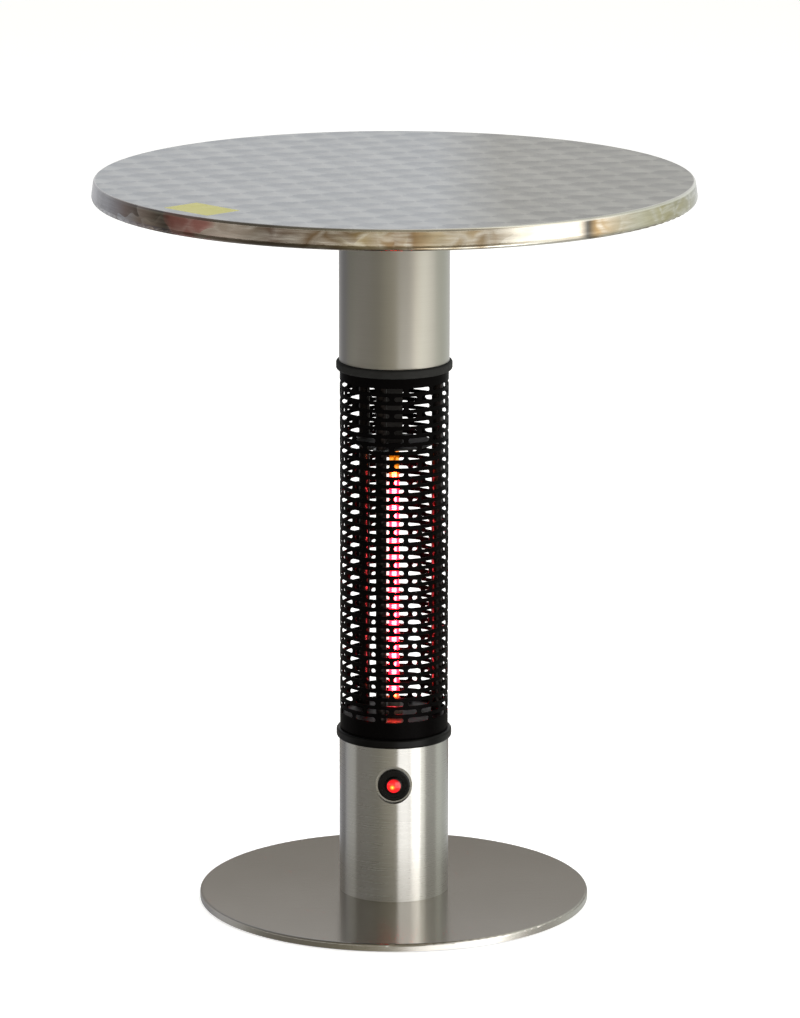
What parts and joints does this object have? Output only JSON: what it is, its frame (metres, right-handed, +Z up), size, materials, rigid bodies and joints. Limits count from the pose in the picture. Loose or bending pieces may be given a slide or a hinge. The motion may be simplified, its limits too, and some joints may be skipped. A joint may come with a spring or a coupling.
{
  "type": "outdoor heater table",
  "caption": "Round bistro table whose column holds a glowing infrared lamp behind a slotted guard, on a weighted disc base, with a push-button switch and a tip-over switch.",
  "frame": {"origin": "on the floor, at the middle of the disc base", "axes": "+Z up along the column; the push-button faces -Y and the cable gland faces +Y; +X to the right of someone facing the button"},
  "size_m": [0.6083, 0.6082, 0.75],
  "materials": {
    "base_steel": "stainless sheet, spun and brushed round its middle",
    "weight_steel": "black paint on a flame-cut steel disc",
    "pad_rubber": "moulded rubber, matt",
    "zinc_fixings": "bright zinc plated steel",
    "zinc_plate": "zinc plated pressed steel",
    "tube_steel": "stainless tube, satin polished along its length",
    "collar_black": "moulded black phenolic, slightly glossy",
    "guard_enamel": "heat-resistant black enamel on punched steel",
    "post_steel": "drawn steel tube, heat darkened",
    "pan_aluminium": "aluminium sheet, dulled dark by the heat",
    "heat_steel": "heat-darkened steel sheet",
    "spring_steel": "bright spring steel",
    "quartz": "fused quartz, ruby where the coil heats it and amber at its ends",
    "hot_filament": "glowing heating coil",
    "lead_wire": "nickel lead wire",
    "lamp_ceramic": "unglazed steatite",
    "tabletop_steel": "stainless skin, engine-turned on top and polished at the rim",
    "board": "medium-density fibreboard",
    "backing_laminate": "black backing laminate",
    "label_yellow": "plain yellow label",
    "seal_rubber": "moulded seal rubber",
    "switch_black": "black anodised look, glossy",
    "switch_nylon": "black nylon",
    "terminal_brass": "bright brass",
    "indicator_glass": "neon lamp glass",
    "lens_red": "translucent red moulded lens",
    "gland_nylon": "black nylon",
    "block_nylon": "natural nylon",
    "pendulum_brass": "turned brass",
    "wire_blue": "blue PVC sleeve",
    "wire_brown": "brown PVC sleeve",
    "wire_glassfibre": "braided glass-fibre sleeve",
    "wire_green": "green and yellow PVC sleeve"
  },
  "bodies": {
    "table": {"base_cover": "base_steel", "base_plate": "weight_steel", "base_pads": "pad_rubber", "base_bolts": "zinc_fixings", "base_nuts": "zinc_fixings", "foot_ring": "zinc_plate", "lower_tube": "tube_steel", "upper_tube": "tube_steel", "lower_ring": "collar_black", "upper_ring": "collar_black", "guard": "guard_enamel", "post_front": "post_steel", "post_right": "post_steel", "post_left": "post_steel", "post_nuts": "zinc_fixings", "lower_mount_disc": "zinc_plate", "upper_mount_disc": "zinc_plate", "reflector_pan": "pan_aluminium", "heat_shield": "heat_steel", "shield_clips": "spring_steel", "lamp_hanger": "heat_steel", "lamp_tube": "quartz", "lamp_filament": "hot_filament", "lamp_leads": "lead_wire", "lamp_cap_lower": "lamp_ceramic", "lamp_cap_upper": "lamp_ceramic", "tabletop_skin": "tabletop_steel", "tabletop_core": "board", "tabletop_backing": "backing_laminate", "blank_label": "label_yellow", "top_flange": "zinc_plate", "flange_screws": "zinc_fixings", "switch_gasket": "seal_rubber", "switch_bezel": "switch_black", "switch_nut": "switch_nylon", "switch_body": "switch_nylon", "switch_terminals": "terminal_brass", "indicator_lamp": "indicator_glass", "button_spring": "spring_steel", "gland_body": "gland_nylon", "gland_dome_nut": "gland_nylon", "gland_insert": "seal_rubber", "gland_locknut": "gland_nylon", "component_bracket": "zinc_plate", "bracket_screws": "zinc_fixings", "earth_screw": "terminal_brass", "terminal_block": "block_nylon", "terminal_screws": "zinc_fixings", "tip_switch_frame": "block_nylon", "tip_switch_pin": "zinc_fixings", "tip_switch_screws": "zinc_fixings", "micro_switch": "switch_nylon", "wire_block_to_switch": "wire_blue", "wire_switch_to_tip": "wire_brown", "wire_tip_to_lamp": "wire_glassfibre", "wire_block_to_lamp_top": "wire_glassfibre", "earth_wire": "wire_green"},
    "button": {"button_cap": "switch_black", "button_lens": "lens_red"},
    "pendulum": {"tip_switch_pendulum": "pendulum_brass"}
  },
  "joints": [
    {"name": "power_button_press", "type": "slide", "parent": "table", "child": "button", "axis": [0, 1, 0], "range_m": [0, 0.003], "stiffness_N_per_m": 400, "deforming": ["button_spring"]},
    {"name": "tip_pendulum_swing", "type": "hinge", "parent": "table", "child": "pendulum", "pos_m": [0, 0.00125, 0.094], "axis": [0, 1, 0], "range_deg": [-25, 25]}
  ]
}
